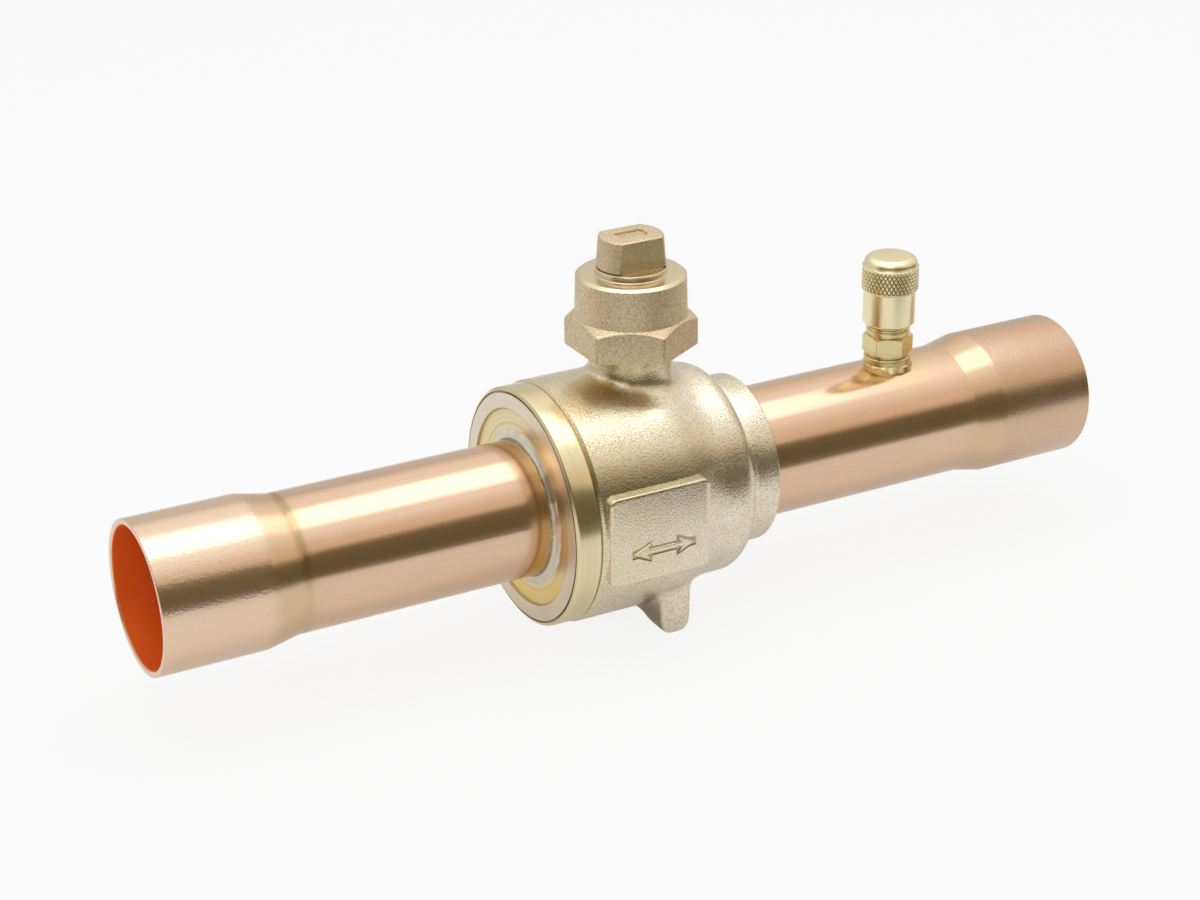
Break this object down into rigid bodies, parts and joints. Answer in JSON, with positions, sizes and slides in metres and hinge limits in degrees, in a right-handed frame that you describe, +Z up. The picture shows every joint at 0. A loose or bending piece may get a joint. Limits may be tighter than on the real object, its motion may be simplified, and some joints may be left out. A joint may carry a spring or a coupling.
{
  "type": "refrigerant ball valve",
  "caption": "Straight refrigerant ball valve with brass body, swaged copper solder stubs, seal cap over the stem and a capped access port",
  "frame": {"origin": "centre of the ball, where the pipe axis crosses the stem axis", "axes": "+X along the pipe towards the outlet stub, +Y away from the label pad, +Z up the stem"},
  "size_m": [0.2178, 0.0519, 0.0825],
  "materials": {
    "forged_brass": "forged and blasted, fine grain",
    "turned_brass": "turned, satin",
    "cap_brass": "forged and blasted, turned rim",
    "port_brass": "turned, bright",
    "stem_brass": "turned, bright",
    "copper": "drawn copper, satin",
    "silver_braze": "solidified braze, uneven",
    "ball_chrome": "polished chrome plate",
    "ptfe": "plain white",
    "seal_rubber": "black, matt",
    "pin_steel": "drawn stainless wire"
  },
  "bodies": {
    "valve": {"valve_body": "forged_brass", "end_connector": "turned_brass", "connector_o_ring": "seal_rubber", "inlet_stub": "copper", "outlet_stub": "copper", "inlet_braze": "silver_braze", "inlet_seat": "ptfe", "outlet_seat": "ptfe", "access_port": "port_brass", "access_braze": "silver_braze", "core_body": "stem_brass", "core_seal_ring": "ptfe", "core_spring": "pin_steel"},
    "stem_and_ball": {"stem": "stem_brass", "ball": "ball_chrome", "stop_pin": "pin_steel", "stem_o_ring_lower": "seal_rubber", "stem_o_ring_upper": "seal_rubber", "thrust_washer": "ptfe"},
    "cap_seal": {"cap_gasket": "ptfe"},
    "seal_cap": {"seal_cap": "cap_brass"},
    "access_cap_seal": {"access_cap_seal": "seal_rubber"},
    "access_cap": {"access_cap": "port_brass"},
    "core_pin": {"core_pin": "stem_brass", "poppet_seal": "seal_rubber"}
  },
  "joints": [
    {"name": "stem_turn", "type": "hinge", "parent": "valve", "child": "stem_and_ball", "pos_m": [0, 0, 0], "axis": [0, 0, -1], "range_deg": [0, 90]},
    {"name": "cap_lift", "type": "slide", "parent": "valve", "child": "cap_seal", "axis": [0, 0, 1], "range_m": [0, 0.0075]},
    {"name": "cap_turn", "type": "hinge", "parent": "cap_seal", "child": "seal_cap", "pos_m": [0, 0, 0], "axis": [0, 0, 1], "range_deg": [0, 1800]},
    {"name": "access_cap_lift", "type": "slide", "parent": "valve", "child": "access_cap_seal", "axis": [0, 0, 1], "range_m": [0, 0.00635]},
    {"name": "access_cap_turn", "type": "hinge", "parent": "access_cap_seal", "child": "access_cap", "pos_m": [0.0642, 0, 0], "axis": [0, 0, 1], "range_deg": [0, 1800]},
    {"name": "core_press", "type": "slide", "parent": "valve", "child": "core_pin", "axis": [0, 0, -1], "range_m": [0, 0.0015], "stiffness_N_per_m": 800, "springref_m": -0.001, "deforming": ["core_spring"]}
  ],
  "couplings": [
    {"joint": "cap_lift", "follows": "cap_turn", "m_per_rad": 0.00023873},
    {"joint": "access_cap_lift", "follows": "access_cap_turn", "m_per_rad": 0.00020212}
  ]
}
